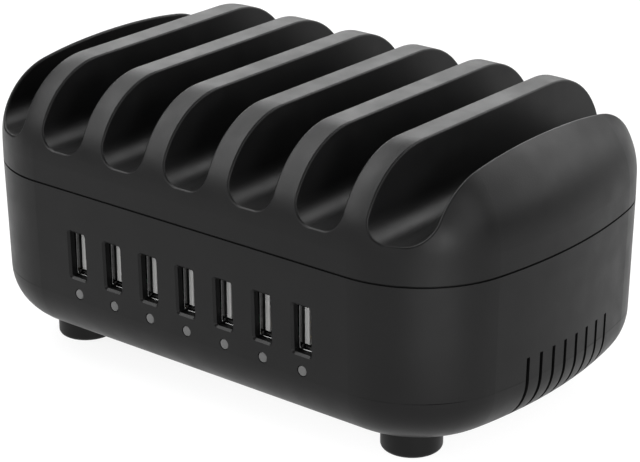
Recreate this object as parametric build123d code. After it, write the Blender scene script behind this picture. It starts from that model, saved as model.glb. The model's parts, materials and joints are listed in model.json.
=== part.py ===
from build123d import *
import os
from math import atan2, cos, degrees, radians, sqrt, tan

# Multi port USB desktop charger: a two part case on four feet. Upright ribs on the cover part seven
# slots for phones and tablets, seven USB sockets face the front, and a mains supply fills the case.
# Frame: the floor under the middle of the charger is the origin, +X runs along the case to the right,
# the sockets face -Y and +Z is up. All sizes are in millimetres.

# Case outline, seen from above at the seam
case_length = 184.3
case_depth = 113.2
corner_radius = 31.8
end_bow_radius = 154.0

# Case heights and section
foot_height = 7.3
case_height = 49.7
cover_height = 31.8
wall = 2.4
case_draft = 1.3
base_round = 15.7
cover_round = 25.4
seam_gap = 0.6
seam_gap_depth = 0.7
lip_height = 2.0
lip_clearance = 0.1

# Device slots across the cover
slot_count = 7
slot_pitch = 23.6
slot_width = 16.0
slot_floor_rise = 10.6
slot_draft = 0.6
slot_corner = 6.0
rim_round = 0.6

# Socket openings and indicator lights along the front
port_count = 7
port_pitch = 14.0
port_drop = 20.05
port_width = 5.95
port_height = 14.1
port_corner = 0.6
port_bevel = 0.65
light_drop = 32.1
light_diameter = 3.0
light_clearance = 0.15

# One USB socket
shell_cavity_width = 5.12
shell_cavity_height = 12.5
shell_wall = 0.35
shell_corner = 0.5
shell_lead_in = 0.25
shell_lead_in_depth = 0.9
shell_depth = 12.6
shell_setback = 0.3
insulator_block = 3.0
insulator_clearance = 0.05
tongue_thickness = 1.7
tongue_height = 11.5
tongue_setback = 1.2
tongue_offset = 1.15
tongue_round = 0.3
contact_width = 1.0
contact_thickness = 0.25
contact_tip_gap = 0.6
contact_places = (-3.5, -1.0, 1.0, 3.5)

# Vents, low on both ends
vent_count = 8
vent_pitch = 5.4
vent_width = 1.3
vent_drop = 27.5
vent_reach = 15.0

# Feet, and the case screws above them
foot_end_inset = 29.95
foot_side_inset = 23.4
foot_diameter = 17.4
foot_recess = 1.2
foot_recess_clearance = 0.15
foot_edge_round = 1.4
boss_diameter = 10.0
boss_grip = 14.0
screw_diameter = 3.0
screw_head_diameter = 5.5
screw_head_height = 2.0
screw_clearance = 0.2
thread_clearance = 0.05
case_screw_length = 12.0
case_screw_seat = 6.0

# Boards
board_thickness = 1.6
board_lift = 4.0
board_gap = 3.0
board_rear_gap = 12.6
board_front_margin = 3.0
standoff_diameter = 7.0
standoff_inset = 6.0
standoff_front_gap = 4.0
board_screw_length = 5.0
socket_board_margin = 10.0
socket_board_top_margin = 4.5
led_width = 2.8
led_height = 3.2
led_depth = 1.9
pipe_flange_diameter = 4.4
pipe_flange_thickness = 1.0
pipe_gap = 0.3
sheet_thickness = 0.4
sheet_margin = 2.0

# Mains inlet at the rear, and its leads
inlet_end_inset = 58.15
inlet_drop = 21.0
inlet_mouth_width = 15.4
inlet_mouth_height = 8.4
inlet_mouth_depth = 10.0
inlet_wall = 2.0
inlet_flange_margin = 4.0
inlet_flange_thickness = 2.0
inlet_pad = 1.0
inlet_clearance = 0.15
inlet_setback = 0.3
inlet_back = 2.5
inlet_rib = 2.5
pin_diameter = 2.4
pin_spacing = 8.6
pin_recess = 1.4
pin_tail = 5.0
lead_diameter = 2.2
lead_reach = 12.0
lead_bend = 10.0

# Parts of the mains supply on the power board
part_gap = 2.0
transformer_length = 38.0
transformer_depth = 16.0
transformer_height = 34.0
transformer_leg = 5.0
transformer_centre_leg = 10.0
winding_overhang = 8.0
winding_round = 4.0
winding_clearance = 0.3
bulk_diameter = 18.0
bulk_height = 32.0
bulk_y = -4.0
output_diameter = 10.0
output_height = 20.0
output_count = 4
can_round = 1.0
choke_outer = 18.0
choke_inner = 8.0
choke_height = 9.0
choke_round = 2.0
filter_length = 18.0
filter_depth = 9.0
filter_height = 11.0
fuse_length = 8.5
fuse_depth = 4.0
fuse_height = 8.0
bridge_length = 22.0
bridge_depth = 3.5
bridge_height = 18.0
sink_length = 44.0
sink_plate = 3.0
sink_height = 30.0
sink_fin_count = 6
sink_fin_depth = 7.0
sink_fin_thickness = 1.5
chip_width = 10.0
chip_height = 15.5
chip_depth = 4.5
chip_lift = 6.0
chip_leg = 0.8
chip_leg_pitch = 2.54

# Levels and places that follow from the sizes above
seam_z = foot_height + case_height
top_z = seam_z + cover_height
floor_z = foot_height + wall
slot_floor_z = seam_z + slot_floor_rise
port_z = seam_z - port_drop
light_z = seam_z - light_drop
inlet_z = seam_z - inlet_drop
case_lean = tan(radians(case_draft))
slot_lean = tan(radians(slot_draft))
foot_x = case_length / 2 - foot_end_inset
foot_y = case_depth / 2 - foot_side_inset
foot_places = [(sx * foot_x, sy * foot_y) for sx in (-1, 1) for sy in (-1, 1)]
port_places = [(i - (port_count - 1) / 2) * port_pitch for i in range(port_count)]
slot_places = [(i - (slot_count - 1) / 2) * slot_pitch for i in range(slot_count)]
vent_places = [(i - (vent_count - 1) / 2) * vent_pitch for i in range(vent_count)]


def wall_y(z):
    """Distance of the lower case's outer front or rear face from the middle, at a height."""
    return case_depth / 2 - case_lean * (seam_z - z)


# Sockets and boards
shell_front_y = wall + shell_setback - wall_y(port_z)
shell_width = shell_cavity_width + 2 * shell_wall
shell_height = shell_cavity_height + 2 * shell_wall
socket_board_y = shell_front_y + shell_depth
socket_board_rear_y = socket_board_y + board_thickness
light_y = -wall_y(light_z)
board_z = floor_z + board_lift
board_top_z = board_z + board_thickness
half_board = foot_x - boss_diameter / 2 - board_gap
board_front_y = socket_board_y - board_front_margin
board_rear_y = case_depth / 2 - board_rear_gap
standoff_x = half_board - standoff_inset
standoff_front_y = socket_board_rear_y + standoff_front_gap
standoff_rear_y = board_rear_y - standoff_inset
standoff_places = [(sx * standoff_x, y) for sx in (-1, 1) for y in (standoff_front_y, standoff_rear_y)]

# Mains inlet
inlet_x = inlet_end_inset - case_length / 2
pad_y = wall_y(inlet_z) - wall - inlet_pad
snout_front_y = wall_y(inlet_z) - inlet_setback
snout_width = inlet_mouth_width + 2 * inlet_wall
snout_height = inlet_mouth_height + 2 * inlet_wall
flange_width = snout_width + 2 * inlet_flange_margin
flange_height = snout_height + 2 * inlet_flange_margin
inlet_back_y = snout_front_y - inlet_mouth_depth - inlet_back
pin_tail_y = inlet_back_y - pin_tail
pin_places = [inlet_x - pin_spacing / 2, inlet_x + pin_spacing / 2]

# Power board, from the left: bulk capacitors, bridge, primary heat sink, transformer
bulk_x = part_gap + bulk_diameter / 2 - half_board
bridge_x = bulk_x + bulk_diameter / 2 + part_gap + bridge_depth / 2
primary_sink_x = bridge_x + bridge_depth / 2 + 2 * part_gap + sink_fin_depth
transformer_x = primary_sink_x + sink_plate + chip_depth + part_gap + transformer_length / 2
# From the rear to the front: line filter capacitor, transformer, secondary heat sink, output capacitors.
# The room that these leave is shared between the rear of the transformer and the socket board.
secondary_x = transformer_x + (sink_length - transformer_length) / 2
winding_reach = transformer_depth / 2 + winding_overhang
filter_front_y = board_rear_y - filter_depth
sink_depth = sink_fin_depth + sink_plate + chip_depth
supply_depth = 2 * winding_reach + part_gap + sink_depth + part_gap + output_diameter
supply_room = filter_front_y - socket_board_rear_y - supply_depth
transformer_y = filter_front_y - supply_room / 2 - winding_reach
secondary_sink_y = transformer_y - winding_reach - part_gap - sink_fin_depth
output_y = secondary_sink_y - sink_plate - chip_depth - part_gap - output_diameter / 2
output_pitch = output_diameter + part_gap
# Along the rear edge, to the right of the leads: choke, line filter capacitor
choke_x = pin_places[1] + lead_diameter / 2 + part_gap + choke_outer / 2
choke_y = board_rear_y - choke_outer / 2
filter_x = choke_x + choke_outer / 2 + part_gap + filter_length / 2
filter_y = board_rear_y - filter_depth / 2
fuse_y = board_rear_y - fuse_depth / 2


def block(x_span, y_span, z_span):
    """Plain box between three pairs of limits."""
    spans = (x_span, y_span, z_span)
    size = [high - low for low, high in spans]
    centre = [(low + high) / 2 for low, high in spans]
    return Pos(*centre) * Box(*size)


def around(centre, width):
    """Pair of limits either side of a centre."""
    return (centre - width / 2, centre + width / 2)


def post(x, y, z_low, z_high, diameter):
    """Upright round post between two heights."""
    return Pos(x, y, (z_low + z_high) / 2) * Cylinder(diameter / 2, z_high - z_low)


def rod(x, z, y_low, y_high, diameter):
    """Round rod along the depth between two places."""
    return Pos(x, (y_low + y_high) / 2, z) * Rot(90, 0, 0) * Cylinder(diameter / 2, y_high - y_low)


def bar(profile, x, z, y_low, y_high):
    """Flat profile, drawn as seen from the front, carried along the depth between two places."""
    return extrude(Pos(x, y_high, z) * (Plane.XZ * profile), y_high - y_low)


def case_plan(inset, z):
    """Outline from above: straight front and back, bowed ends and corner arcs tangent to both."""
    corner_y = case_depth / 2 - corner_radius
    bow_x = case_length / 2 - end_bow_radius
    reach = sqrt((end_bow_radius - corner_radius) ** 2 - corner_y ** 2)
    corner_x = bow_x + reach
    lean = degrees(atan2(corner_y, reach))
    half_depth = case_depth / 2 - inset
    corner = corner_radius - inset
    bow = end_bow_radius - inset
    turn = 90 - lean
    edges = [
        Line((-corner_x, -half_depth), (corner_x, -half_depth)),
        CenterArc((corner_x, -corner_y), corner, -90, turn),
        CenterArc((bow_x, 0), bow, -lean, 2 * lean),
        CenterArc((corner_x, corner_y), corner, lean, turn),
        Line((corner_x, half_depth), (-corner_x, half_depth)),
        CenterArc((-corner_x, corner_y), corner, 90, turn),
        CenterArc((-bow_x, 0), bow, 180 - lean, 2 * lean),
        CenterArc((-corner_x, -corner_y), corner, 180 + lean, turn),
    ]
    return Pos(0, 0, z) * make_face(edges)


def case_form(inset):
    """Lower case as a solid: drafted walls below the seam and a round all along the base."""
    form = extrude(case_plan(inset, seam_z), case_height - inset, dir=(0, 0, -1), taper=case_draft)
    base = form.faces().sort_by(Axis.Z)[0]
    return fillet(base.edges(), base_round - inset)


def cover_form(inset):
    """Cover as a solid with no slots: upright walls above the seam and a large round all along the top."""
    form = extrude(case_plan(inset, seam_z), cover_height - inset)
    top = form.faces().sort_by(Axis.Z)[-1]
    return fillet(top.edges(), cover_round - inset)


def slot_form(x, grow):
    """One device slot as a solid: a drafted U channel along the whole depth, grown by a wall."""
    high_z = top_z + wall
    low_z = slot_floor_z - grow
    skew = grow / cos(radians(slot_draft))
    half_high = slot_width / 2 + (high_z - top_z) * slot_lean + skew
    half_low = slot_width / 2 - (top_z - low_z) * slot_lean + skew
    outline = Polyline((-half_high, high_z), (-half_low, low_z), (half_low, low_z), (half_high, high_z), close=True)
    profile = make_face(Plane.XZ * outline)
    profile = fillet(profile.vertices().sort_by(Axis.Z)[:2], slot_corner + grow)
    return Pos(x, 0, 0) * extrude(profile, case_depth, both=True)


def seam_ring(outer_inset, inner_inset, z_low, z_high):
    """Band along the case wall between two insets and two heights."""
    ring = case_plan(outer_inset, z_low) - case_plan(inner_inset, z_low)
    return extrude(ring, z_high - z_low)


def top_cover():
    """Cover moulded in one: ribs and slot troughs of one wall thickness, with bosses for the screws."""
    form = cover_form(0)
    slots = [slot_form(x, 0) for x in slot_places]
    cut = form - slots
    rims = new_edges(form, *slots, combined=cut)
    shell = fillet(rims, rim_round)
    hollow = cover_form(wall) - [slot_form(x, wall) for x in slot_places]
    hollow -= [post(x, y, seam_z, seam_z + boss_grip, boss_diameter) for x, y in foot_places]
    shell -= hollow
    pilot = screw_diameter + 2 * thread_clearance
    reach = seam_z + case_screw_length - case_screw_seat + screw_clearance
    shell -= [post(x, y, seam_z, reach, pilot) for x, y in foot_places]
    return shell - seam_ring(wall / 2, 2 * wall, seam_z, seam_z + lip_height + lip_clearance)


def bottom_case():
    """Lower case moulded in one: drafted shell, rim lip, bosses, standoffs, cut-outs and vents."""
    shell = cut_ports(case_form(0))
    hollow = case_form(wall)
    hollow -= [post(x, y, foot_height, seam_z, boss_diameter) for x, y in foot_places]
    hollow -= [post(x, y, foot_height, board_z, standoff_diameter) for x, y in standoff_places]
    hollow -= inlet_seat()
    shell -= hollow
    shell += seam_ring(wall / 2 + lip_clearance, wall, seam_z, seam_z + lip_height)
    shell -= seam_ring(-wall, seam_gap_depth, seam_z - seam_gap, seam_z)
    light_hole = light_diameter + 2 * light_clearance
    shell -= [rod(x, light_z, -case_depth, light_y + 2 * wall, light_hole) for x in port_places]
    shell -= inlet_bar(snout_width + 2 * inlet_clearance, snout_height + 2 * inlet_clearance, pad_y, case_depth)
    shell -= [vent_form(side, y) for side in (-1, 1) for y in vent_places]
    seat_bore = foot_diameter + 2 * foot_recess_clearance
    head_bore = screw_head_diameter + 2 * screw_clearance
    shank_bore = screw_diameter + 2 * screw_clearance
    for x, y in foot_places:
        shell -= post(x, y, 0, foot_height + foot_recess, seat_bore)
        shell -= post(x, y, 0, seam_z - case_screw_seat, head_bore)
        shell -= post(x, y, 0, seam_z, shank_bore)
    pilot = screw_diameter + 2 * thread_clearance
    pilot_z = board_top_z - board_screw_length - screw_clearance
    return shell - [post(x, y, pilot_z, board_z, pilot) for x, y in standoff_places]


def cut_ports(form):
    """Cut the row of socket openings into the front face and bevel their outer edges."""
    opening = RectangleRounded(port_width, port_height, port_corner)
    ports = [bar(opening, x, port_z, -case_depth, 2 * wall - wall_y(port_z)) for x in port_places]
    cut = form - ports
    rims = new_edges(form, *ports, combined=cut)
    outer = rims.filter_by(lambda edge: edge.center().Y < wall / 2 - wall_y(port_z))
    return chamfer(outer, port_bevel)


def vent_form(side, y):
    """One vent as a solid: a thin upright slot that runs from the end wall round onto the underside."""
    inner_x = case_length / 2 - vent_reach
    outer_x = case_length / 2 + wall
    x_span = sorted((side * inner_x, side * outer_x))
    return block(x_span, around(y, vent_width), (0, seam_z - vent_drop))


def inlet_bar(width, height, y_low, y_high):
    """Flat sided oval bar along the depth at the mains inlet."""
    return bar(SlotOverall(width, height), inlet_x, inlet_z, y_low, y_high)


def inlet_seat():
    """Pad on the rear wall with a channel that the inlet's flange drops into from above."""
    low_z = inlet_z - flange_height / 2
    high_z = inlet_z + flange_height / 2
    back_y = pad_y - inlet_flange_thickness - inlet_clearance
    rib_y = back_y - inlet_rib
    seat = block(around(inlet_x, flange_width + 2 * inlet_rib), (rib_y, case_depth), (low_z - inlet_rib, high_z))
    seat -= block(around(inlet_x, flange_width + 2 * inlet_clearance), (back_y, pad_y), (low_z, top_z))
    return seat - block(around(inlet_x, snout_width + 2 * inlet_clearance), (0, pad_y), (low_z, top_z))


def mains_inlet():
    """Two pole mains inlet: flange against the case, oval snout and body, blind mouth, holes for pins."""
    flange = block(
        around(inlet_x, flange_width),
        (pad_y - inlet_flange_thickness, pad_y),
        around(inlet_z, flange_height),
    )
    body = flange + inlet_bar(snout_width, snout_height, inlet_back_y, snout_front_y)
    body -= inlet_bar(inlet_mouth_width, inlet_mouth_height, inlet_back_y + inlet_back, case_depth)
    hole = pin_diameter + 2 * thread_clearance
    return body - [rod(x, inlet_z, 0, inlet_back_y + inlet_back, hole) for x in pin_places]


def inlet_pins():
    """Two round pins that pass through the inlet's back into its mouth."""
    front_y = snout_front_y - pin_recess
    return [rod(x, inlet_z, pin_tail_y, front_y, pin_diameter) for x in pin_places]


def mains_lead(x):
    """Insulated lead from a pin's tail, bent down onto the power board."""
    foot_point_y = pin_tail_y - lead_reach
    corners = [(x, pin_tail_y, inlet_z), (x, foot_point_y, inlet_z), (x, foot_point_y, board_top_z)]
    path = FilletPolyline(*corners, radius=lead_bend)
    section = Pos(*corners[0]) * (Plane.XZ * Circle(lead_diameter / 2))
    return sweep(section, path)


def rubber_foot(x, y):
    """Round foot, seated in a shallow recess of the case, with a rounded lower edge."""
    foot = post(x, y, 0, foot_height + foot_recess, foot_diameter)
    return fillet(foot.edges().sort_by(Axis.Z)[0], foot_edge_round)


def screw(x, y, head_z, shank_length, up):
    """Pan head screw whose head seats at a height, with its shank up or down from there."""
    head_end = head_z - up * screw_head_height
    tip = head_z + up * shank_length
    head = post(x, y, min(head_z, head_end), max(head_z, head_end), screw_head_diameter)
    return head + post(x, y, min(head_z, tip), max(head_z, tip), screw_diameter)


def usb_shell(x):
    """Folded metal shell of one socket: a tube with round corners, open at both ends, widened at its mouth."""
    outside = RectangleRounded(shell_width, shell_height, shell_corner + shell_wall)
    cavity = RectangleRounded(shell_cavity_width, shell_cavity_height, shell_corner)
    tube = bar(outside - cavity, x, port_z, shell_front_y, socket_board_y)
    throat = Pos(x, shell_front_y + shell_lead_in_depth, port_z) * (Plane.XZ * cavity)
    lean = degrees(atan2(shell_lead_in, shell_lead_in_depth))
    return tube - extrude(throat, shell_lead_in_depth, taper=-lean)


def usb_insulator(x):
    """Moulded block that closes the shell's rear, with the tongue that carries the contacts."""
    width = shell_cavity_width - 2 * insulator_clearance
    height = shell_cavity_height - 2 * insulator_clearance
    block_y = socket_board_y - insulator_block
    section = RectangleRounded(width, height, shell_corner - insulator_clearance)
    rear = bar(section, x, port_z, block_y, socket_board_y)
    tongue = Rectangle(tongue_thickness, tongue_height)
    tongue = bar(tongue, x - tongue_offset, port_z, shell_front_y + tongue_setback, socket_board_y)
    tip = tongue.faces().sort_by(Axis.Y)[0]
    return rear + fillet(tip.edges(), tongue_round)


def usb_contacts(x):
    """Four contact strips that lie along the tongue's open side."""
    low_x = x - tongue_offset + tongue_thickness / 2
    front_y = shell_front_y + tongue_setback + contact_tip_gap
    y_span = (front_y, socket_board_y - insulator_block)
    x_span = (low_x, low_x + contact_thickness)
    return [block(x_span, y_span, around(port_z + z, contact_width)) for z in contact_places]


def light_pipe(x):
    """Clear pipe from a hole in the front wall to the LED, with a flange behind the wall."""
    flange_y = light_y + wall + light_clearance
    rear_y = socket_board_y - led_depth - pipe_gap
    pipe = rod(x, light_z, light_y, rear_y, light_diameter)
    return pipe + rod(x, light_z, flange_y, flange_y + pipe_flange_thickness, pipe_flange_diameter)


def indicator_leds():
    """One small LED on the socket board behind each light pipe."""
    y_span = (socket_board_y - led_depth, socket_board_y)
    return [block(around(x, led_width), y_span, around(light_z, led_height)) for x in port_places]


def socket_board():
    """Upright board behind the sockets, standing on the power board."""
    half_width = port_places[-1] + socket_board_margin
    high_z = port_z + shell_height / 2 + socket_board_top_margin
    return block((-half_width, half_width), (socket_board_y, socket_board_rear_y), (board_top_z, high_z))


def power_board():
    """Flat board on the standoffs, with a hole for each of its screws."""
    board = block((-half_board, half_board), (board_front_y, board_rear_y), (board_z, board_top_z))
    hole = screw_diameter + 2 * screw_clearance
    return board - [post(x, y, board_z, board_top_z, hole) for x, y in standoff_places]


def insulating_sheet():
    """Thin sheet on the case floor under the power board, cut out round the standoffs."""
    half_width = half_board - sheet_margin
    half_depth = case_depth / 2 - case_lean * (case_height - wall) - base_round - sheet_margin
    sheet = block((-half_width, half_width), (-half_depth, half_depth), (floor_z, floor_z + sheet_thickness))
    hole = standoff_diameter + 2 * screw_clearance
    return sheet - [post(x, y, floor_z, board_z, hole) for x, y in standoff_places]


def transformer_core():
    """Ferrite core: a frame with two windows either side of its centre leg."""
    window = (transformer_length - transformer_centre_leg) / 2 - transformer_leg
    window_height = transformer_height - 2 * transformer_leg
    offset = (transformer_centre_leg + window) / 2
    frame = Rectangle(transformer_length, transformer_height)
    frame -= [Pos(side * offset, 0) * Rectangle(window, window_height) for side in (-1, 1)]
    y_low, y_high = around(transformer_y, transformer_depth)
    return bar(frame, transformer_x, board_top_z + transformer_height / 2, y_low, y_high)


def transformer_winding():
    """Taped winding round the core's centre leg, clear of the windows' walls."""
    width = transformer_length - 2 * transformer_leg - 2 * winding_clearance
    depth = transformer_depth + 2 * winding_overhang
    low_z = board_top_z + transformer_leg + winding_clearance
    high_z = board_top_z + transformer_height - transformer_leg - winding_clearance
    ring = RectangleRounded(width, depth, winding_round)
    ring -= Rectangle(transformer_centre_leg + 2 * winding_clearance, transformer_depth + 2 * winding_clearance)
    return Pos(transformer_x, transformer_y, low_z) * extrude(ring, high_z - low_z)


def can(x, y, diameter, height):
    """Upright electrolytic capacitor with a rounded top edge."""
    body = post(x, y, board_top_z, board_top_z + height, diameter)
    return fillet(body.edges().sort_by(Axis.Z)[-1], can_round)


def bulk_capacitors():
    """Two mains capacitors, one behind the other at the left of the board."""
    step = (bulk_diameter + part_gap) / 2
    return [can(bulk_x, bulk_y + side * step, bulk_diameter, bulk_height) for side in (-1, 1)]


def output_capacitors():
    """Row of output capacitors between the secondary heat sink and the socket board."""
    first = secondary_x - (output_count - 1) / 2 * output_pitch
    return [can(first + i * output_pitch, output_y, output_diameter, output_height) for i in range(output_count)]


def mains_choke():
    """Ring choke lying flat at the rear of the board, with rounded windings."""
    half_width = (choke_outer - choke_inner) / 4
    middle = (choke_outer + choke_inner) / 4
    low_z = board_top_z
    section = Pos(middle, low_z + choke_height / 2) * RectangleRounded(2 * half_width, choke_height, choke_round)
    return Pos(choke_x, choke_y, 0) * revolve(Plane.XZ * section, Axis.Z)


def board_box(x, y, length, depth, height):
    """Box shaped component standing on the power board."""
    return block(around(x, length), around(y, depth), (board_top_z, board_top_z + height))


def heat_sink():
    """Extruded heat sink at the origin: a plate in front of a row of upright fins."""
    profile = Pos(0, -sink_plate / 2) * Rectangle(sink_length, sink_plate)
    step = (sink_length - sink_fin_thickness) / (sink_fin_count - 1)
    fin = Rectangle(sink_fin_thickness, sink_fin_depth)
    first = (sink_fin_thickness - sink_length) / 2
    profile += [Pos(first + i * step, sink_fin_depth / 2) * fin for i in range(sink_fin_count)]
    return extrude(profile, sink_height)


def power_chip():
    """Three legged power device at the origin, its back flat against a heat sink's plate."""
    y_span = (-sink_plate - chip_depth, -sink_plate)
    body = block(around(0, chip_width), y_span, (chip_lift, chip_lift + chip_height))
    leg_y = around(-sink_plate - chip_depth / 2, chip_leg)
    legs = [block(around(i * chip_leg_pitch, chip_leg), leg_y, (0, chip_lift)) for i in (-1, 0, 1)]
    return body + legs


primary_place = Pos(primary_sink_x, bulk_y, board_top_z) * Rot(0, 0, 90)
secondary_place = Pos(secondary_x, secondary_sink_y, board_top_z)
pieces = {
    "top_cover": top_cover(),
    "bottom_case": bottom_case(),
    "case_screws": [screw(x, y, seam_z - case_screw_seat, case_screw_length, 1) for x, y in foot_places],
    "board_screws": [screw(x, y, board_top_z, board_screw_length, -1) for x, y in standoff_places],
    "indicator_leds": indicator_leds(),
    "socket_board": socket_board(),
    "power_board": power_board(),
    "insulating_sheet": insulating_sheet(),
    "mains_inlet": mains_inlet(),
    "inlet_pins": inlet_pins(),
    "live_lead": mains_lead(pin_places[0]),
    "neutral_lead": mains_lead(pin_places[1]),
    "transformer_core": transformer_core(),
    "transformer_winding": transformer_winding(),
    "bulk_capacitors": bulk_capacitors(),
    "output_capacitors": output_capacitors(),
    "mains_choke": mains_choke(),
    "line_filter_capacitor": board_box(filter_x, filter_y, filter_length, filter_depth, filter_height),
    "fuse": board_box(pin_places[0], fuse_y, fuse_length, fuse_depth, fuse_height),
    "bridge_rectifier": board_box(bridge_x, bulk_y, bridge_depth, bridge_length, bridge_height),
    "primary_heat_sink": primary_place * heat_sink(),
    "switching_transistor": primary_place * power_chip(),
    "secondary_heat_sink": secondary_place * heat_sink(),
    "output_rectifier": secondary_place * power_chip(),
}
for (x, y), side in zip(foot_places, ("front_left", "rear_left", "front_right", "rear_right")):
    pieces[f"foot_{side}"] = rubber_foot(x, y)
for number, x in enumerate(port_places, start=1):
    pieces[f"usb_shell_{number}"] = usb_shell(x)
    pieces[f"usb_insulator_{number}"] = usb_insulator(x)
    pieces[f"usb_contacts_{number}"] = usb_contacts(x)
    pieces[f"light_pipe_{number}"] = light_pipe(x)

os.makedirs("parts", exist_ok=True)
for name, piece in pieces.items():
    solid = Compound(piece) if isinstance(piece, list) else piece
    export_step(solid, f"parts/{name}.step")
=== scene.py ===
import json
from math import radians

import bpy
import numpy as np
from mathutils import Matrix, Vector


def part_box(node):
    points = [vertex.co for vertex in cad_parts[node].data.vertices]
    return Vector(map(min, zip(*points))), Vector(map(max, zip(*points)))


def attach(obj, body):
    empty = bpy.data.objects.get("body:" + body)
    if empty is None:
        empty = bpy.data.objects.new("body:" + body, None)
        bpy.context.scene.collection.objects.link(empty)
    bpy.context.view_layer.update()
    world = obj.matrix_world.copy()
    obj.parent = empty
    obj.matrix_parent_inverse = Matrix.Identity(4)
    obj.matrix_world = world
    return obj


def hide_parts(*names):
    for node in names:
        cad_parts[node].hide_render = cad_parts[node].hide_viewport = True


# Multi port USB desktop charger: finishes, light and camera around the CAD frame. Places are in metres,
# in the frame of the solids: the floor under the middle is the origin, the sockets face -Y and +Z is up.
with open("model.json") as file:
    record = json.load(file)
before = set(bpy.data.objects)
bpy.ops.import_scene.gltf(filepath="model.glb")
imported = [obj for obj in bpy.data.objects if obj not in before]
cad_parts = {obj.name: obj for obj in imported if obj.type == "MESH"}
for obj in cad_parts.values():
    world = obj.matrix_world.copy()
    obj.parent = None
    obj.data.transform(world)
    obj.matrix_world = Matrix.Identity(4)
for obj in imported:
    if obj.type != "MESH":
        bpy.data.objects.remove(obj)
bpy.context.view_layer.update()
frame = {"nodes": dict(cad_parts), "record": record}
solids = frame["nodes"]

# Camera, fitted to the case's outline, seam, sockets and lights
IMAGE_WIDTH = 640
IMAGE_HEIGHT = 462
CAMERA_PLACE = (0.40742, -0.49419, 0.29266)
CAMERA_YAW = 39.012
CAMERA_PITCH = 21.568
CAMERA_ROLL = 0.165
FOCAL_PIXELS = 2332.5
IMAGE_CENTRE = (331.3, 225.6)
SENSOR_WIDTH = 36.0

# Patterns of the finishes, in spots to the metre, and the depth of their grain in metres
CLOUD_SPOTS = 55.0
SHEEN_SPOTS = 130.0
GRAIN_SPOTS = 2600.0
RUBBER_GRAIN_SPOTS = 1500.0
GRAIN_DETAIL = 2.0
GRAIN_DEPTH = 0.00002
STREAK_SPOTS = 900.0
STREAK_DETAIL = 4.0
STREAK_DEPTH = 0.000005
BARE_SPOTS = 400.0

# Moulded and cast finishes: two close colours, the range of roughness, the gloss and, for rubber, its grain
CASE_GLOSS = 0.175
MOULDINGS = {
    "case_plastic": (((0.0034, 0.0034, 0.0035), (0.0046, 0.0046, 0.0047)), (0.38, 0.46), CASE_GLOSS),
    "foot_rubber": (((0.003, 0.003, 0.003), (0.005, 0.005, 0.005)), (0.44, 0.56), 0.17, RUBBER_GRAIN_SPOTS),
    "socket_insulator": (((0.66, 0.66, 0.65), (0.72, 0.72, 0.71)), (0.35, 0.45), 0.5),
    "light_pipe": (((0.097, 0.097, 0.097), (0.121, 0.121, 0.121)), (0.3, 0.4), 0.4),
    "led_resin": (((0.80, 0.80, 0.72), (0.88, 0.88, 0.82)), (0.2, 0.3), 0.5),
    "insulating_film": (((0.68, 0.66, 0.58), (0.76, 0.74, 0.67)), (0.35, 0.5), 0.4),
    "inlet_plastic": (((0.0045, 0.0045, 0.0046), (0.006, 0.006, 0.0062)), (0.42, 0.52), 0.2),
    "live_insulation": (((0.16, 0.06, 0.02), (0.22, 0.09, 0.035)), (0.3, 0.4), 0.5),
    "neutral_insulation": (((0.02, 0.08, 0.33), (0.035, 0.11, 0.42)), (0.3, 0.4), 0.5),
    "ferrite": (((0.05, 0.05, 0.055), (0.085, 0.085, 0.09)), (0.5, 0.7), 0.4),
    "winding_tape": (((0.68, 0.48, 0.06), (0.78, 0.58, 0.10)), (0.25, 0.4), 0.5),
    "capacitor_sleeve": (((0.02, 0.025, 0.055), (0.035, 0.045, 0.09)), (0.2, 0.3), 0.5),
    "filter_resin": (((0.64, 0.44, 0.06), (0.74, 0.54, 0.10)), (0.3, 0.45), 0.5),
    "fuse_resin": (((0.21, 0.08, 0.03), (0.28, 0.11, 0.045)), (0.25, 0.4), 0.5),
    "chip_resin": (((0.025, 0.025, 0.025), (0.038, 0.038, 0.038)), (0.45, 0.6), 0.4),
}

# Metals: two close colours, the range of roughness, and how the streaks are drawn out along the axes
ALONG_DEPTH = (1.0, 0.05, 1.0)
METALS = {
    "socket_shell": (((0.13, 0.13, 0.13), (0.18, 0.18, 0.18)), (0.12, 0.20), ALONG_DEPTH),
    "contact_metal": (((0.70, 0.50, 0.20), (0.83, 0.62, 0.28)), (0.2, 0.32), ALONG_DEPTH),
    "pin_metal": (((0.28, 0.27, 0.24), (0.36, 0.35, 0.31)), (0.36, 0.48), ALONG_DEPTH),
    "screw_steel": (((0.40, 0.40, 0.41), (0.56, 0.56, 0.57)), (0.3, 0.45), (1.0, 1.0, 0.2)),
    "copper_winding": (((0.52, 0.22, 0.09), (0.68, 0.33, 0.15)), (0.2, 0.35), (1.0, 1.0, 0.1)),
    "heat_sink_metal": (((0.70, 0.71, 0.72), (0.82, 0.83, 0.84)), (0.3, 0.45), (1.0, 1.0, 0.04)),
}

# Bare tops of the capacitors and bare core of the choke: two close colours
BARE_TOP = ((0.55, 0.56, 0.57), (0.66, 0.67, 0.68))
BARE_CORE = ((0.05, 0.06, 0.05), (0.08, 0.09, 0.08))

# Faint parting line round both ends of the case, where the base's round begins, and how it breaks up. Its
# darkness is painted shade of the groove, drawn as a drop in the sheen
PARTING_SHADE_HEIGHT = 0.0229
PARTING_SHADE_WIDTH = 0.0002
PARTING_SHADE_START = 0.058
PARTING_SHADE_FADE = 0.01
PARTING_SHADE_SPOTS = 60.0
PARTING_SHADE_BREAKS = (0.1, 1.0, 0.4, 0.6)

# Boards under solder mask: colours, roughness, and the brick pattern whose joints are the copper tracks
BOARD_MASK = (0.012, 0.09, 0.035)
BOARD_TRACK = (0.05, 0.24, 0.11)
BOARD_ROUGH = (0.3, 0.4)
BOARD_SPOTS = 90.0
BOARD_CLOUDS = 0.3
TRACK_PITCH = 0.017
TRACK_WIDTH = 0.03
TRACK_HEIGHT = 0.00004
TRACK_SHIFT = 0.37
TRACK_SQUASH = 0.55
TRACK_SQUASHED_ROW = 3

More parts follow.
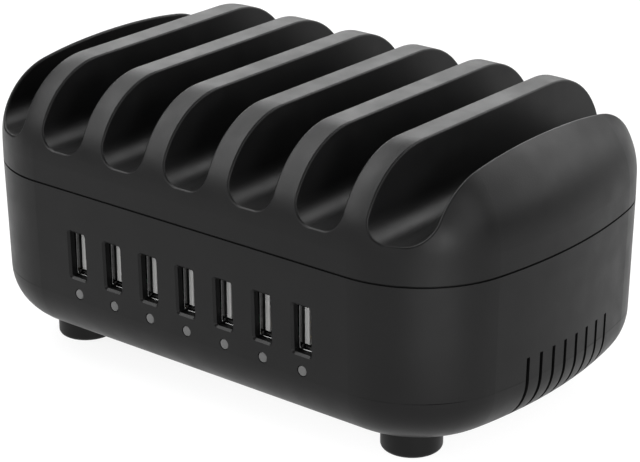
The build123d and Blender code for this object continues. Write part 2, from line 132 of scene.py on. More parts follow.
# Floor: its reach, its paper, and the light of its own with the place where that rises to full white
WHITE = (1.0, 1.0, 1.0, 1.0)
FLOOR_REACH = 6.0
FLOOR_COLOUR = (0.15, 0.15, 0.15, 1.0)
FLOOR_ROUGH = 0.9
FLOOR_GLOSS = 0.1
FLOOR_LIGHT = 0.84
FLOOR_FILL_PLACE = (0.26, -0.16, 0.0)
FLOOR_FILL_REACH = 0.40
FLOOR_FILL_FULL = 0.8

# Room light: each soft box by name, direction from the charger, distance, width and height, and radiance
LIT_POINT = (0.0, 0.0, 0.05)
ROOM_LIGHT = 0.05
SOFT_BOXES = (
    ("box_overhead", (-0.50, 0.05, 0.86), 1.1, (0.7, 0.7), 5.2),
    ("box_front_high", (-0.55, -0.39, 0.735), 1.2, (0.65, 0.55), 6.9),
    ("box_front_left", (-0.55, -0.71, 0.445), 1.3, (0.7, 0.5), 7.2),
    ("box_front", (0.12, -0.97, 0.20), 1.3, (0.7, 0.5), 2.9),
    ("box_behind", (-0.585, 0.723, 0.368), 1.4, (1.2, 0.5), 4.45),
    ("box_back_high", (0.03, 0.72, 0.69), 1.3, (0.6, 0.6), 5.1),
    ("box_back_low", (0.25, 0.95, 0.18), 1.3, (0.6, 0.35), 2.1),
    ("box_right_back", (0.40, 0.72, 0.52), 1.3, (0.6, 0.6), 4.2),
    ("box_right_low", (0.69, 0.62, 0.32), 1.3, (0.6, 0.4), 3.6),
    ("box_right", (0.85, -0.03, 0.53), 1.2, (0.55, 0.8), 3.3),
    ("box_right_front", (0.97, -0.15, 0.20), 1.2, (0.4, 0.35), 1.8),
    ("box_corner", (0.80, -0.50, 0.10), 0.9, (0.3, 0.2), 17.0),
)
# Lit card flat on the floor before the right corner: middle, the way it lies, width and height, radiance
CARD_PLACE = (0.180, -0.125, 0.002)
CARD_ALONG = (0.8, -0.6, 0.0)
CARD_SIZE = (0.13, 0.09)
CARD_RADIANCE = 1.9


def link(tree, source, target):
    """Join one node's output to another's input."""
    tree.links.new(source, target)


def new_finish(name):
    """Empty material with its shader, ready for a pattern. Gives the material, its tree and its shader."""
    material = bpy.data.materials.new(name)
    material.use_nodes = True
    tree = material.node_tree
    return material, tree, tree.nodes["Principled BSDF"]


def place_on(tree, stretch=(1.0, 1.0, 1.0)):
    """Object coordinates, stretched along the axes: the space that every pattern is laid in."""
    place = tree.nodes.new("ShaderNodeTexCoord")
    mapping = tree.nodes.new("ShaderNodeMapping")
    mapping.inputs["Scale"].default_value = stretch
    link(tree, place.outputs["Object"], mapping.inputs["Vector"])
    return mapping.outputs["Vector"]


def noise(tree, vector, spots_per_metre, detail=3.0):
    """Cloudy pattern with so many spots to the metre, from 0 to 1."""
    node = tree.nodes.new("ShaderNodeTexNoise")
    node.inputs["Scale"].default_value = spots_per_metre
    node.inputs["Detail"].default_value = detail
    link(tree, vector, node.inputs["Vector"])
    return node.outputs["Fac"]


def spread(tree, pattern, low, high, start=0.3, end=0.7):
    """Pattern mapped to a range of plain numbers."""
    node = tree.nodes.new("ShaderNodeMapRange")
    node.inputs["From Min"].default_value = start
    node.inputs["From Max"].default_value = end
    node.inputs["To Min"].default_value = low
    node.inputs["To Max"].default_value = high
    link(tree, pattern, node.inputs["Value"])
    return node.outputs["Result"]


def tint(tree, pattern, first, second, start=0.3, end=0.7):
    """Pattern mapped to a blend of two colours."""
    ramp = tree.nodes.new("ShaderNodeValToRGB")
    ramp.color_ramp.elements[0].position = start
    ramp.color_ramp.elements[0].color = (*first, 1.0)
    ramp.color_ramp.elements[1].position = end
    ramp.color_ramp.elements[1].color = (*second, 1.0)
    link(tree, pattern, ramp.inputs["Fac"])
    return ramp.outputs["Color"]


def relief(tree, shader, pattern, depth):
    """Fine raised texture on the surface, so many metres deep."""
    bump = tree.nodes.new("ShaderNodeBump")
    bump.inputs["Strength"].default_value = 1.0
    bump.inputs["Distance"].default_value = depth
    link(tree, pattern, bump.inputs["Height"])
    link(tree, bump.outputs["Normal"], shader.inputs["Normal"])


def moulding(name, tones, rough, gloss, grain=GRAIN_SPOTS):
    """Moulded plastic or rubber: soft clouds of two close tones, uneven sheen and a fine eroded grain."""
    material, tree, shader = new_finish(name)
    vector = place_on(tree)
    link(tree, tint(tree, noise(tree, vector, CLOUD_SPOTS), *tones), shader.inputs["Base Color"])
    link(tree, spread(tree, noise(tree, vector, SHEEN_SPOTS), *rough), shader.inputs["Roughness"])
    relief(tree, shader, noise(tree, vector, grain, GRAIN_DETAIL), GRAIN_DEPTH)
    shader.inputs["Specular IOR Level"].default_value = gloss
    return material


def combine(tree, operation, first, second):
    """Two patterns, or a pattern and a number, put together by one operation."""
    node = tree.nodes.new("ShaderNodeMath")
    node.operation = operation
    for value, socket in ((first, node.inputs[0]), (second, node.inputs[1])):
        if isinstance(value, float):
            socket.default_value = value
        else:
            link(tree, value, socket)
    return node.outputs[0]


def axes_of(tree, vector):
    """Outputs that give the three coordinates of a place."""
    split = tree.nodes.new("ShaderNodeSeparateXYZ")
    link(tree, vector, split.inputs["Vector"])
    return split.outputs


def parting_line_shade(material):
    """Faint line round both ends, where the moulds of the ends met the base's, darkened as painted shade of
    its groove:
    the sheen drops close to one height, more in some stretches, and only so far from the middle."""
    tree = material.node_tree
    vector = place_on(tree)
    axes = axes_of(tree, vector)
    away = combine(tree, "SUBTRACT", axes["Z"], PARTING_SHADE_HEIGHT)
    near = spread(tree, combine(tree, "ABSOLUTE", away, 0.0), 1.0, 0.0, 0.0, PARTING_SHADE_WIDTH)
    patchy = spread(tree, noise(tree, vector, PARTING_SHADE_SPOTS), *PARTING_SHADE_BREAKS)
    reach = combine(tree, "ABSOLUTE", axes["X"], 0.0)
    ends = spread(tree, reach, 0.0, 1.0, PARTING_SHADE_START, PARTING_SHADE_START + PARTING_SHADE_FADE)
    line = combine(tree, "MULTIPLY", combine(tree, "MULTIPLY", near, patchy), ends)
    sheen = spread(tree, line, CASE_GLOSS, 0.0, 0.0, 1.0)
    link(tree, sheen, tree.nodes["Principled BSDF"].inputs["Specular IOR Level"])


def track_board(name):
    """Board under solder mask: its copper tracks are the joints of a brick pattern, a little lighter and
    raised. The pattern lies along X and along Y plus Z, so that flat and upright boards both show it."""
    material, tree, shader = new_finish(name)
    vector = place_on(tree)
    axes = axes_of(tree, vector)
    flat = tree.nodes.new("ShaderNodeCombineXYZ")
    link(tree, axes["X"], flat.inputs["X"])
    link(tree, combine(tree, "ADD", axes["Y"], axes["Z"]), flat.inputs["Y"])
    bricks = tree.nodes.new("ShaderNodeTexBrick")
    bricks.offset = TRACK_SHIFT
    bricks.squash = TRACK_SQUASH
    bricks.squash_frequency = TRACK_SQUASHED_ROW
    bricks.inputs["Scale"].default_value = 1.0 / TRACK_PITCH
    bricks.inputs["Mortar Size"].default_value = TRACK_WIDTH
    link(tree, flat.outputs["Vector"], bricks.inputs["Vector"])
    tracks = bricks.outputs["Fac"]
    cloudy = spread(tree, noise(tree, vector, BOARD_SPOTS), 0.0, BOARD_CLOUDS)
    uneven = combine(tree, "ADD", tracks, cloudy)
    colour = tint(tree, uneven, BOARD_MASK, BOARD_TRACK, 0.0, 1.0 + BOARD_CLOUDS)
    link(tree, colour, shader.inputs["Base Color"])
    link(tree, spread(tree, noise(tree, vector, SHEEN_SPOTS), *BOARD_ROUGH), shader.inputs["Roughness"])
    relief(tree, shader, tracks, TRACK_HEIGHT)
    return material


def two_tones(material, colours, metal):
    """Second finish on a piece: where its tone attribute rises from 0 to 1, the colour goes over to a blend
    of two others, and the shine of metal from the first of two levels to the second."""
    tree = material.node_tree
    shader = tree.nodes["Principled BSDF"]
    tone = tree.nodes.new("ShaderNodeAttribute")
    tone.attribute_name = "tone"
    own = shader.inputs["Base Color"].links[0].from_socket
    other = tint(tree, noise(tree, place_on(tree), BARE_SPOTS), *colours)
    blend = tree.nodes.new("ShaderNodeMix")
    blend.data_type = "RGBA"
    amount, first, second = (socket for socket in blend.inputs if socket.enabled)
    result = next(socket for socket in blend.outputs if socket.enabled)
    link(tree, tone.outputs["Fac"], amount)
    link(tree, own, first)
    link(tree, other, second)
    link(tree, result, shader.inputs["Base Color"])
    link(tree, spread(tree, tone.outputs["Fac"], *metal, 0.0, 1.0), shader.inputs["Metallic"])


def drawn_metal(name, tones, rough, stretch):
    """Plated or bare metal with fine streaks along the way it was drawn."""
    material, tree, shader = new_finish(name)
    vector = place_on(tree, stretch)
    streaks = noise(tree, vector, STREAK_SPOTS, STREAK_DETAIL)
    link(tree, tint(tree, streaks, *tones), shader.inputs["Base Color"])
    link(tree, spread(tree, streaks, *rough), shader.inputs["Roughness"])
    relief(tree, shader, streaks, STREAK_DEPTH)
    shader.inputs["Metallic"].default_value = 1.0
    return material


finishes = {slot: moulding(slot, *values) for slot, values in MOULDINGS.items()}
finishes.update({slot: drawn_metal(slot, *values) for slot, values in METALS.items()})
finishes["board_laminate"] = track_board("board_laminate")
two_tones(finishes["capacitor_sleeve"], BARE_TOP, (0.0, 1.0))
two_tones(finishes["copper_winding"], BARE_CORE, (1.0, 0.0))
# Painted shade along the case's parting line: its sheen is lowered there
parting_line_shade(finishes["case_plastic"])
for subpart in frame["record"]["subparts"]:
    mesh = solids[subpart["node"]].data
    mesh.materials.clear()
    mesh.materials.append(finishes[subpart["material_slot"]])


# Small parts, drawn finer than their solids. Sizes are in metres
FOOT_EDGE = 0.0014
FOOT_DISH = 0.0006
FOOT_DISH_RADIUS = 0.0056
PIPE_RADIUS = 0.0015
PIPE_EDGE = 0.0002
PIPE_CROWN = 0.00008
PIPE_FLANGE = (0.00255, 0.00355)
SHELL_WALL = 0.00035
SHELL_CORNER = 0.00085
SHELL_LIP = 0.00025
SHELL_FLARE = 0.0004
SHELL_LEAD_IN = 0.0011
LEAF_PLACES = (-0.0032, 0.0032)
LEAF_SPAN = (0.0027, 0.0095)
LEAF_SECTION = (0.0002, 0.0018)
LEAF_BOW = 0.00025
CONTACT_PLACES = (-0.0035, -0.0010, 0.0010, 0.0035)
CONTACT_SECTION = (0.00025, 0.0010)
CONTACT_BOW = 0.0003
CONTACT_CREST = 0.0018
CONTACT_CREST_LENGTH = 0.0009
CONTACT_DIP = 0.0002
CONTACT_DIP_LENGTH = 0.0006
PIN_EDGE = 0.0002
PIN_NOSE = 1.3
SCREW_HEAD = (0.00275, 0.0020)
HEAD_ROUND = 0.9
RECESS_WIDTH = 0.16
RECESS_REACH = 0.62
RECESS_DEPTH = 0.0011
SCREW_STEPS = 48
SCREW_SHANK = 0.0015
SCREW_TIP = 0.0012
SCREW_TIP_RADIUS = 0.0004
THREAD_START = 0.0004
THREAD_PITCH = 0.0010
THREAD_DEPTH = 0.0003
CAN_FOOT = (0.0006, 0.0003)
CAN_ROUND = 0.0010
CAN_CRIMP = 0.0005
CRIMP_HEIGHT = 0.0026
CRIMP_LENGTH = 0.0007
SLEEVE_ROLL = 0.0006
TOP_STEP = (0.0001, 0.00025)
TOP_DEPTH = 0.0003
CHOKE_RADII = (0.0040, 0.0090)
CHOKE_ROUND = 0.0020
CHOKE_TURNS = 36
CHOKE_GAP = 0.25
WIRE = 0.0008
SHARP_ANGLE = 38.0


def arc(middle, radius, start, end, count=9):
    """Points on an arc: the middle plus the radius times the cosine and the sine of angles in degrees."""
    turn = np.radians(np.linspace(start, end, count))
    return np.column_stack((middle[0] + radius * np.cos(turn), middle[1] + radius * np.sin(turn)))


def round_quads(index):
    """Four sided faces between the rows of a grid whose columns close on themselves."""
    after = np.roll(index, -1, axis=1)
    return np.stack((index[:-1], after[:-1], after[1:], index[1:]), axis=-1).reshape(-1, 4)


def turned(radius, height, steps):
    """Closed shell turned about an upright axis. Each row of points lies at its radius times the cosine and
    the sine of the turn, at its height. The first and the last row are single points on the axis."""
    turn = np.linspace(0.0, 2.0 * np.pi, steps, endpoint=False)
    radius = np.broadcast_to(np.reshape(radius, (len(radius), -1)), (len(radius), steps))
    height = np.broadcast_to(np.reshape(height, (len(height), -1)), (len(height), steps))
    rings = np.stack((radius * np.cos(turn), radius * np.sin(turn), height), axis=-1)
    poles = [(0.0, 0.0, height[0, 0]), (0.0, 0.0, height[-1, 0])]
    points = np.concatenate((rings[1:-1].reshape(-1, 3), poles))
    index = np.arange((len(rings) - 2) * steps).reshape(-1, steps)
    first, last = np.full(steps, len(points) - 2), np.full(steps, len(points) - 1)
    lower = np.column_stack((first, np.roll(index[0], -1), index[0]))
    upper = np.column_stack((last, index[-1], np.roll(index[-1], -1)))
    return points, [round_quads(index), lower, upper]


def looped(grid):
    """Closed shell like a tyre, from a grid of points that closes on itself along both its ways."""
    index = np.arange(grid.shape[0] * grid.shape[1]).reshape(grid.shape[:2])
    return grid.reshape(-1, 3), [round_quads(np.concatenate((index, index[:1])))]


def drawn(grid):
    """Closed shell from sections along a path: each row of the grid is a section, and both ends are shut."""
    index = np.arange(grid.shape[0] * grid.shape[1]).reshape(grid.shape[:2])
    return grid.reshape(-1, 3), [round_quads(index), index[:1, ::-1], index[-1:]]


def moved(shell, place):
    """Shell carried to a place."""
    return shell[0] + np.array(place), shell[1]


def laid_back(shell):
    """Shell whose upright axis is laid down to point to the rear."""
    return shell[0][:, (0, 2, 1)] * (1.0, 1.0, -1.0), shell[1]


def outline(half_width, half_height, corner, inset, count=7):
    """Rounded rectangle, drawn in from its outline. The corners' middles stay: each point is a middle plus
    the corner radius less the inset, times the cosine and the sine of the turn. Gives a row to each inset."""
    quarters = [np.linspace(start, start + 90.0, count) for start in (0.0, 90.0, 180.0, 270.0)]
    turn = np.radians(np.concatenate(quarters))
    side = np.repeat((1.0, -1.0, -1.0, 1.0), count) * (half_width - corner)
    rise = np.repeat((1.0, 1.0, -1.0, -1.0), count) * (half_height - corner)
    reach = corner - np.reshape(inset, (-1, 1))
    return side + reach * np.cos(turn), rise + reach * np.sin(turn)


def add_piece(name, slot, nodes, shells, tone=None):
    """Piece at the origin from closed shells, in place of the solids that it is drawn after."""
    starts = np.cumsum([0] + [len(points) for points, _ in shells[:-1]])
    groups = [group + start for start, shell in zip(starts, shells) for group in shell[1]]
    faces = [face for group in groups for face in group.tolist()]
    points = np.concatenate([points for points, _ in shells])
    mesh = bpy.data.meshes.new(name)
    mesh.from_pydata(points.tolist(), [], faces)
    mesh.shade_smooth()
    mesh.set_sharp_from_angle(angle=radians(SHARP_ANGLE))
    if tone is not None:
        values = mesh.attributes.new("tone", "FLOAT", "POINT").data
        values.foreach_set("value", np.ascontiguousarray(tone, np.float32))
    mesh.materials.append(finishes[slot])
    piece = bpy.data.objects.new(name, mesh)
    bpy.context.scene.collection.objects.link(piece)
    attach(piece, "root")
    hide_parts(*nodes)


def corners_of(node):
    """Lowest corner, highest corner and middle of a solid."""
    low, high = (np.array(corner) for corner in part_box(node))
    return low, high, (low + high) / 2


def rubber_foot(node):
    """Foot turned about its upright axis: a dish in the underside that falls away as half a cosine wave, a
    flat rim, a quarter round at the lower edge and a straight side."""
    low, high, middle = corners_of(node)
    radius = (high[0] - low[0]) / 2
    across = np.linspace(0.0, FOOT_DISH_RADIUS, 14)
    dish = np.column_stack((across, FOOT_DISH * (0.5 + 0.5 * np.cos(np.pi * across / FOOT_DISH_RADIUS))))
    edge = arc((radius - FOOT_EDGE, FOOT_EDGE), FOOT_EDGE, -90.0, 0.0, 14)
    profile = np.concatenate((dish, edge, [(radius, high[2]), (0.0, high[2])]))
    shell = turned(profile[:, 0], profile[:, 1], 128)
    add_piece(f"{node}_drawn", "foot_rubber", (node,), [moved(shell, (middle[0], middle[1], 0.0))])


def light_pipe(node):
    """Clear pipe turned about its axis: a front face set back as the square of the radius, a soft edge, a
    plain stem and the flange behind the wall."""
    low, high, middle = corners_of(node)
    across = np.linspace(0.0, PIPE_RADIUS - PIPE_EDGE, 10)
    crown = np.column_stack((across, PIPE_CROWN * (across / PIPE_RADIUS) ** 2))
    edge = arc((PIPE_RADIUS - PIPE_EDGE, PIPE_CROWN + PIPE_EDGE), PIPE_EDGE, -90.0, 0.0)
    flange_radius = (high[0] - low[0]) / 2
    flange = [(PIPE_RADIUS, PIPE_FLANGE[0]), (flange_radius, PIPE_FLANGE[0])]
    flange += [(flange_radius, PIPE_FLANGE[1]), (PIPE_RADIUS, PIPE_FLANGE[1])]
    length = high[1] - low[1]
    profile = np.concatenate((crown, edge, flange, [(PIPE_RADIUS, length), (0.0, length)]))
    shell = laid_back(turned(profile[:, 0], profile[:, 1], 64))
    add_piece(f"{node}_drawn", "light_pipe", (node,), [moved(shell, (middle[0], low[1], middle[2]))])


def usb_shell(node):
    """Folded shell of a socket: a loop of insets and depths, carried round a rounded rectangle, makes the
    tube with its rolled mouth. The mouth opens evenly above and below along the lead-in. Four spring leaves
    bow in from the wide walls as a squared sine."""
    low, high, middle = corners_of(node)
    half_width, half_height = (high[0] - low[0]) / 2, (high[2] - low[2]) / 2
    length, lip = high[1] - low[1], SHELL_LIP / 2
    lead_in = np.linspace(lip, SHELL_LEAD_IN, 8)[1:]
    rolled = arc((lip, lip), lip, 180.0, 360.0, 11)
    outside = np.column_stack((np.zeros(7), lead_in[::-1]))
    inside = np.column_stack((np.linspace(SHELL_LIP, SHELL_WALL, 8)[1:], lead_in))
    loop = np.concatenate(([(0.0, length)], outside, rolled, inside, [(SHELL_WALL, length)]))
    side, rise = outline(half_width, half_height, SHELL_CORNER, loop[:, 0])
    depth = np.broadcast_to(loop[:, 1:], side.shape)
    rise = rise + SHELL_FLARE * np.sign(rise) * np.clip(1.0 - depth / SHELL_LEAD_IN, 0.0, 1.0)
    shells = [moved(looped(np.stack((side, depth, rise), axis=-1)), (middle[0], low[1], middle[2]))]
    along = np.linspace(0.0, 1.0, 30)
    bow = LEAF_BOW * np.sin(np.pi * along) ** 2
    across, height = outline(LEAF_SECTION[0] / 2, LEAF_SECTION[1] / 2, LEAF_SECTION[0] / 2.5, 0.0, 3)
    depth = LEAF_SPAN[0] + (LEAF_SPAN[1] - LEAF_SPAN[0]) * along
    for hand in (-1.0, 1.0):
        wall_x = middle[0] + hand * (half_width - SHELL_WALL)
        for place in LEAF_PLACES:
            leaf_x = wall_x - hand * bow[:, None] + across[:, ::-1]
            leaf_z = middle[2] + place + height[:, ::-1]
            leaf = np.broadcast_arrays(leaf_x, low[1] + depth[:, None], leaf_z)
            shells.append(drawn(np.stack(leaf, axis=-1)))
    add_piece(f"{node}_drawn", "socket_shell", (node,), shells)


def usb_contacts(node):
    """Sprung contacts of a socket: a rounded strip carried along the tongue. It stands off by a bell shaped
    crest near its tip, and the tip dips into the tongue by a smaller bell."""
    low, high, middle = corners_of(node)
    along = np.linspace(0.0, high[1] - low[1], 44)[:, None]
    crest = CONTACT_BOW * np.exp(-((along - CONTACT_CREST) / CONTACT_CREST_LENGTH) ** 2)
    lift = crest - CONTACT_DIP * np.exp(-((along / CONTACT_DIP_LENGTH) ** 2))
    across, height = outline(CONTACT_SECTION[0] / 2, CONTACT_SECTION[1] / 2, CONTACT_SECTION[0] / 3, 0.0, 3)
    shells = []
    for place in CONTACT_PLACES:
        strip_x = middle[0] + lift + across[:, ::-1]
        strip_z = middle[2] + place + height[:, ::-1]
        strip = np.broadcast_arrays(strip_x, low[1] + along, strip_z)
        shells.append(drawn(np.stack(strip, axis=-1)))
    add_piece(f"{node}_drawn", "contact_metal", (node,), shells)


def inlet_pins(node):
    """Two pins turned about their axes, with a plain stem and a rounded nose that is a quarter ellipse."""
    low, high, middle = corners_of(node)
    radius, length = (high[2] - low[2]) / 2, high[1] - low[1]
    nose_length = PIN_NOSE * radius
    nose = arc((0.0, 0.0), 1.0, 0.0, 90.0, 14) * (radius, nose_length) + (0.0, length - nose_length)
    profile = np.concatenate(([(0.0, 0.0), (radius - PIN_EDGE, 0.0), (radius, PIN_EDGE)], nose))
    shell = laid_back(turned(profile[:, 0], profile[:, 1], 48))
    places = [(x, low[1], middle[2]) for x in (low[0] + radius, high[0] - radius)]
    add_piece("inlet_pins_drawn", "pin_metal", (node,), [moved(shell, place) for place in places])


def threaded_screw(length, head_up):
    """Pan head screw with a cross recess. The head is a flattened dome, less two crossed bells for the
    recess. The thread's radius is a triangle wave of the height in pitches less the turn. The head seats at
    height 0."""
    turn = np.linspace(0.0, 2.0 * np.pi, SCREW_STEPS, endpoint=False)
    across = np.linspace(0.0, 1.0, 22)[:, None]
    side, rise = across * np.cos(turn), across * np.sin(turn)
    upright_arm = np.exp(-((side / RECESS_WIDTH) ** 6) - (rise / RECESS_REACH) ** 6)
    level_arm = np.exp(-((rise / RECESS_WIDTH) ** 6) - (side / RECESS_REACH) ** 6)
    recess = RECESS_DEPTH * np.clip(upright_arm + level_arm, 0.0, 1.0)
    dome = -SCREW_HEAD[1] * np.sqrt(1.0 - HEAD_ROUND * across ** 4) + recess
    seat = np.zeros((2, SCREW_STEPS))
    climb = np.linspace(THREAD_START, length - SCREW_TIP, 110)[:, None]
    wave = np.abs(((climb / THREAD_PITCH - turn / (2.0 * np.pi)) % 1.0) - 0.5) * 2.0
    core = SCREW_SHANK - THREAD_DEPTH * (1.0 - wave)
    head_radius = np.broadcast_to(SCREW_HEAD[0] * across, dome.shape)
    seat_radius = seat + [[SCREW_HEAD[0]], [SCREW_SHANK]]
    tip_radius = seat + [[SCREW_TIP_RADIUS], [0.0]]
    radius = np.concatenate((head_radius, seat_radius, core, tip_radius))
    height = np.concatenate((dome, seat, np.broadcast_to(climb, core.shape), seat + length))
    points, groups = turned(radius, height, SCREW_STEPS)
    return (points * (1.0, -1.0, -1.0), groups) if head_up else (points, groups)


def screws(node, head_up, places, seat, length):
    """Set of like screws at their places."""
    shell = threaded_screw(length, head_up)
    add_piece(f"{node}_drawn", "screw_steel", (node,), [moved(shell, (x, y, seat)) for x, y in places])


def capacitor_cans(node, places, radius):
    """Row of capacitors, each turned about its axis: a straight can with a bell shaped crimp above its foot,
    a rounded shoulder and a bare top set down inside the sleeve's rolled edge."""
    low, high, _ = corners_of(node)
    height = high[2] - low[2]
    climb = np.linspace(CAN_FOOT[1], height - CAN_ROUND, 60)
    crimp = CAN_CRIMP * np.exp(-((climb - CRIMP_HEIGHT) / CRIMP_LENGTH) ** 2)
    side = np.column_stack((radius - crimp, climb))
    shoulder = arc((radius - CAN_ROUND, height - CAN_ROUND), CAN_ROUND, 8.0, 90.0, 10)
    inner = radius - CAN_ROUND - SLEEVE_ROLL
    top = [(inner, height), (inner - TOP_STEP[0], height - TOP_STEP[1])]
    top += [(inner / 2, height - TOP_DEPTH), (0.0, height - TOP_DEPTH)]
    profile = np.concatenate(([(0.0, 0.0), (radius - CAN_FOOT[0], 0.0)], side, shoulder, top))
    shell = turned(profile[:, 0], profile[:, 1], 72)
    from_axis = np.hypot(shell[0][:, 0], shell[0][:, 1])
    bare = (from_axis < inner - TOP_STEP[0] / 2) & (shell[0][:, 2] > height / 2)
    cans = [moved(shell, (x, y, low[2])) for x, y in places]
    add_piece(f"{node}_drawn", "capacitor_sleeve", (node,), cans, np.tile(bare, len(places)))


def mains_choke(node):
    """Ring choke: a rounded section carried round the ring. Round wires stand on the core as half circles
    of the turn times the number of turns, in two windings with a bare gap between them."""
    low, high, middle = corners_of(node)
    half_width, half_height = (CHOKE_RADII[1] - CHOKE_RADII[0]) / 2, (high[2] - low[2]) / 2
    turn = np.linspace(0.0, 2.0 * np.pi, 720, endpoint=False)
    phase = (turn * CHOKE_TURNS / (2.0 * np.pi)) % 1.0
    wound = (np.abs(np.sin(turn)) > CHOKE_GAP).astype(float)
    inset = WIRE * (1.0 - wound * np.sqrt(1.0 - (2.0 * phase - 1.0) ** 2))
    side, rise = outline(half_width, half_height, CHOKE_ROUND, inset, 8)
    reach = (CHOKE_RADII[0] + CHOKE_RADII[1]) / 2 + side.T
    grid = np.stack((reach * np.cos(turn), reach * np.sin(turn), rise.T), axis=-1)
    add_piece("mains_choke_drawn", "copper_winding", (node,), [moved(looped(grid), middle)],
              np.broadcast_to(1.0 - wound, rise.T.shape).ravel())


def screw_places(low, high):
    """Four places, one near each corner of the screws' box."""
    return [(x, y) for x in (low[0] + SCREW_HEAD[0], high[0] - SCREW_HEAD[0])
            for y in (low[1] + SCREW_HEAD[0], high[1] - SCREW_HEAD[0])]


def case_screws(node):
    """Screws that join the case, heads down."""
    low, high, _ = corners_of(node)
    seat = low[2] + SCREW_HEAD[1]
    screws(node, False, screw_places(low, high), seat, high[2] - seat)


def board_screws(node):
    """Screws that hold the power board, heads up."""
    low, high, _ = corners_of(node)
    seat = high[2] - SCREW_HEAD[1]
    screws(node, True, screw_places(low, high), seat, seat - low[2])


def bulk_capacitors(node):
    """Two mains capacitors, one behind the other."""
    low, high, middle = corners_of(node)
    radius = (high[0] - low[0]) / 2
    capacitor_cans(node, [(middle[0], y) for y in (low[1] + radius, high[1] - radius)], radius)


def output_capacitors(node):
    """Row of four output capacitors."""
    low, high, middle = corners_of(node)
    radius = (high[1] - low[1]) / 2
    capacitor_cans(node, [(x, middle[1]) for x in np.linspace(low[0] + radius, high[0] - radius, 4)], radius)


for corner in ("front_left", "rear_left", "front_right", "rear_right"):
    rubber_foot(f"foot_{corner}")
for number in range(1, 8):
    light_pipe(f"light_pipe_{number}")
    usb_shell(f"usb_shell_{number}")
    usb_contacts(f"usb_contacts_{number}")
inlet_pins("inlet_pins")
case_screws("case_screws")
board_screws("board_screws")
bulk_capacitors("bulk_capacitors")
output_capacitors("output_capacitors")
mains_choke("mains_choke")


def studio_floor(reach):
    """Pale round floor: rings of points at growing radii, flat at the height of the feet."""
    turn = np.linspace(0.0, 2.0 * np.pi, 96, endpoint=False)
    radius = np.linspace(0.0, reach, 9)[1:]
    ring_x = np.outer(radius, np.cos(turn)).ravel()
    ring_y = np.outer(radius, np.sin(turn)).ravel()
    places = np.column_stack((ring_x, ring_y, np.zeros_like(ring_x)))
    index = np.arange(places.shape[0]).reshape(len(radius), len(turn))
    faces = round_quads(index)[:, ::-1].tolist() + index[:1].tolist()
    mesh = bpy.data.meshes.new("studio_floor")
    mesh.from_pydata(places.tolist(), [], faces)
    floor = bpy.data.objects.new("studio_floor", mesh)
    bpy.context.scene.collection.objects.link(floor)
    return floor


def seen_directly(tree):
    """1 for the rays that show the floor itself, its mirror image or a view through glass, 0 for the rest."""
    path = tree.nodes.new("ShaderNodeLightPath")
    shown = combine(tree, "MAXIMUM", path.outputs["Is Camera Ray"], path.outputs["Is Glossy Ray"])
    return combine(tree, "MAXIMUM", shown, path.outputs["Is Transmission Ray"])


def floor_finish():
    """White floor that takes the shadow, with a little light of its own where it is seen. The light rises to
    full white round one place, where the soft boxes reach the floor least."""
    material, tree, shader = new_finish("floor_paper")
    shader.inputs["Base Color"].default_value = FLOOR_COLOUR
    shader.inputs["Roughness"].default_value = FLOOR_ROUGH
    shader.inputs["Specular IOR Level"].default_value = FLOOR_GLOSS
    shader.inputs["Emission Color"].default_value = WHITE
    vector = place_on(tree, (1.0 / FLOOR_FILL_REACH,) * 3)
    vector.node.inputs["Location"].default_value = [-value / FLOOR_FILL_REACH for value in FLOOR_FILL_PLACE]
    patch = tree.nodes.new("ShaderNodeTexGradient")
    patch.gradient_type = "SPHERICAL"
    link(tree, vector, patch.inputs["Vector"])
    own_light = spread(tree, patch.outputs["Fac"], FLOOR_LIGHT, 1.0, 0.0, FLOOR_FILL_FULL)
    glow = combine(tree, "MULTIPLY", own_light, seen_directly(tree))
    link(tree, glow, shader.inputs["Emission Strength"])
    return material


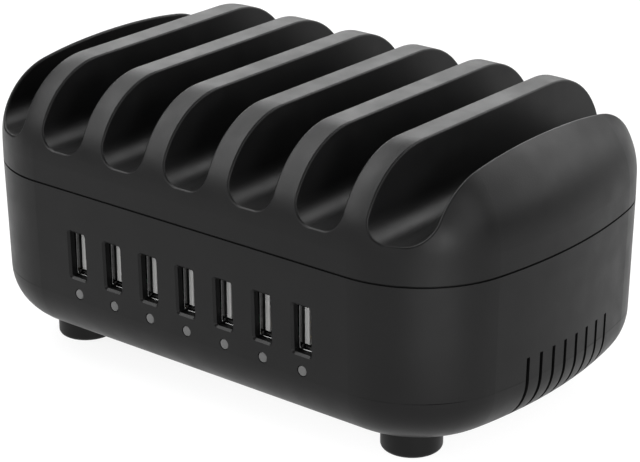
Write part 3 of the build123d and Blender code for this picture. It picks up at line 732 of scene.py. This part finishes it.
def soft_lamp(name, place, side, back, size, radiance):
    """Soft rectangular lamp at a place, its width along one direction and its back to another. Its power is
    radiance times area times pi."""
    lamp = bpy.data.lights.new(name, "AREA")
    lamp.shape = "RECTANGLE"
    lamp.size, lamp.size_y = size
    lamp.energy = radiance * size[0] * size[1] * np.pi
    light = bpy.data.objects.new(name, lamp)
    bpy.context.scene.collection.objects.link(light)
    turn = Matrix(np.column_stack((side, np.cross(back, side), back)).tolist()).to_4x4()
    light.matrix_world = Matrix.Translation(place) @ turn


def softbox(name, toward, distance, size, radiance):
    """Soft light box that faces the charger from a direction."""
    back = np.array(toward) / np.linalg.norm(toward)
    side = np.cross((0.0, 0.0, 1.0), back)
    side /= np.linalg.norm(side)
    soft_lamp(name, np.array(LIT_POINT) + distance * back, side, back, size, radiance)


def studio():
    """Room light: even pale surroundings, soft boxes all round and a white floor."""
    world = bpy.data.worlds.new("studio")
    bpy.context.scene.world = world
    world.use_nodes = True
    background = world.node_tree.nodes["Background"]
    background.inputs["Color"].default_value = WHITE
    background.inputs["Strength"].default_value = ROOM_LIGHT
    for box in SOFT_BOXES:
        softbox(*box)
    soft_lamp("card_corner", CARD_PLACE, CARD_ALONG, (0.0, 0.0, -1.0), CARD_SIZE, CARD_RADIANCE)
    floor = studio_floor(FLOOR_REACH)
    floor.data.materials.append(floor_finish())


def camera():
    """Long lens from the front right, a little above, with the photograph's framing as a small shift."""
    lens = bpy.data.cameras.new("camera")
    lens.sensor_fit = "HORIZONTAL"
    lens.sensor_width = SENSOR_WIDTH
    lens.lens = SENSOR_WIDTH * FOCAL_PIXELS / IMAGE_WIDTH
    lens.shift_x = (IMAGE_WIDTH / 2 - IMAGE_CENTRE[0]) / IMAGE_WIDTH
    lens.shift_y = (IMAGE_CENTRE[1] - IMAGE_HEIGHT / 2) / IMAGE_WIDTH
    lens.clip_start = 0.02
    lens.clip_end = 30.0
    eye = bpy.data.objects.new("camera", lens)
    bpy.context.scene.collection.objects.link(eye)
    turn = Matrix.Rotation(radians(CAMERA_YAW), 4, "Z") @ Matrix.Rotation(radians(90.0 - CAMERA_PITCH), 4, "X")
    roll = Matrix.Rotation(radians(-CAMERA_ROLL), 4, "Z")
    eye.matrix_world = Matrix.Translation(CAMERA_PLACE) @ turn @ roll
    bpy.context.scene.camera = eye
    bpy.context.scene.view_settings.view_transform = "Standard"


studio()
camera()
